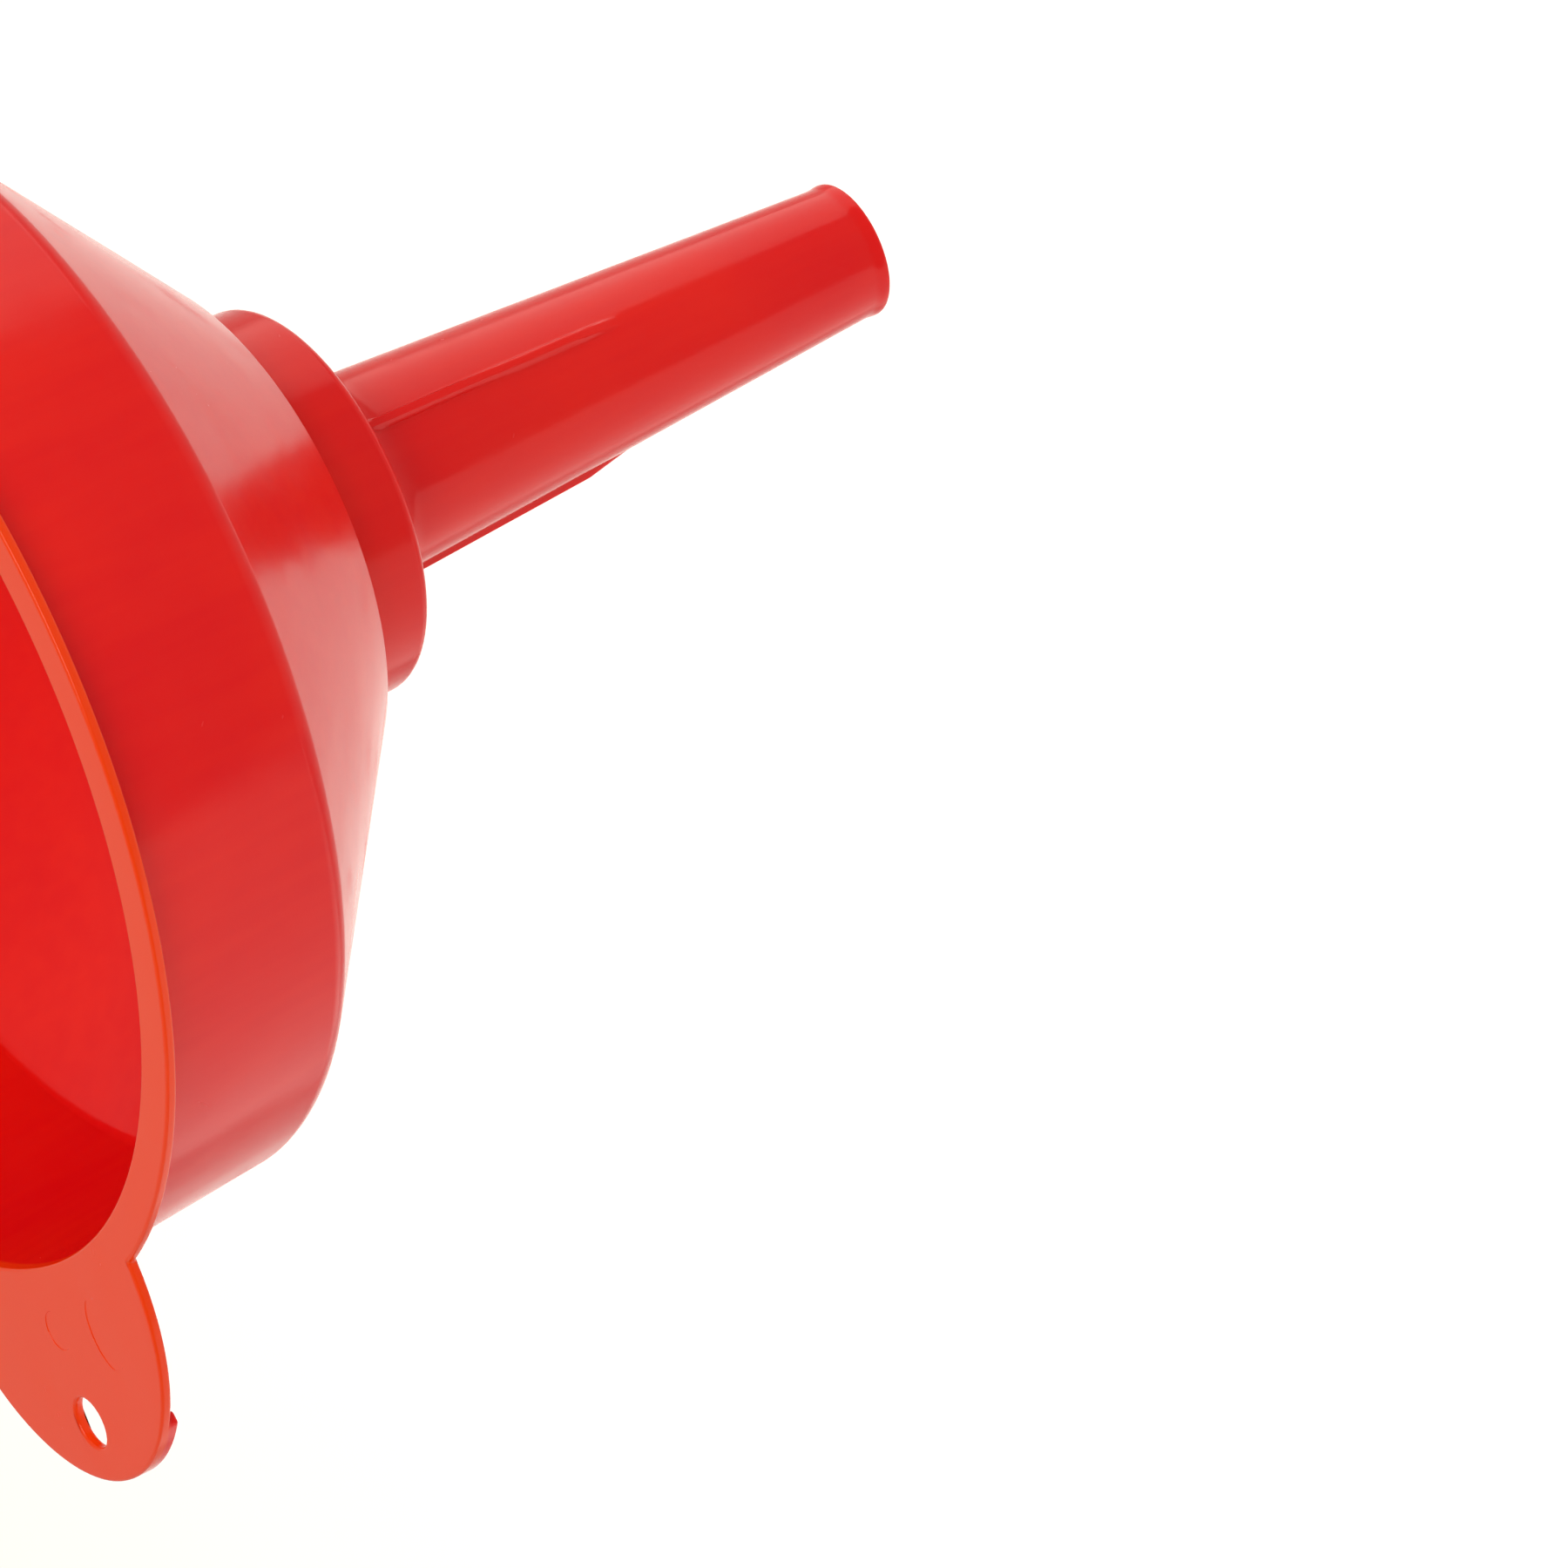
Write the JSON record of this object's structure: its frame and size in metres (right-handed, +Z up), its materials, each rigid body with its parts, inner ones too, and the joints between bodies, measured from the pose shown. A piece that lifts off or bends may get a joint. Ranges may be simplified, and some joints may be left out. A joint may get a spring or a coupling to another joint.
{
  "type": "filling funnel",
  "caption": "Wide plastic funnel with a flanged rim, hang tab, stepped strainer seat, ribbed tapered spout and a lift-out gauze strainer.",
  "frame": {"origin": "on the funnel's axis, in the plane of the shoulder under the strainer seat, which comes to rest on a filler neck", "axes": "+Z up the axis and out of the mouth, +X towards the hang tab"},
  "size_m": [0.1984, 0.1728, 0.1764],
  "materials": {
    "red_polyethylene": "glossy moulded polyethylene, self-coloured red",
    "strainer_polyethylene": "satin moulded polyethylene, self-coloured red",
    "brass_gauze": "plain woven brass wire"
  },
  "bodies": {
    "funnel": {"funnel_body": "red_polyethylene"},
    "strainer": {"strainer_frame": "strainer_polyethylene", "strainer_gauze": "brass_gauze", "gauze_retaining_ring": "strainer_polyethylene", "lift_knob": "strainer_polyethylene"}
  },
  "joints": [
    {"name": "strainer_lift", "type": "slide", "parent": "funnel", "child": "strainer", "axis": [0, 0, 1], "range_m": [0, 0.09]}
  ]
}
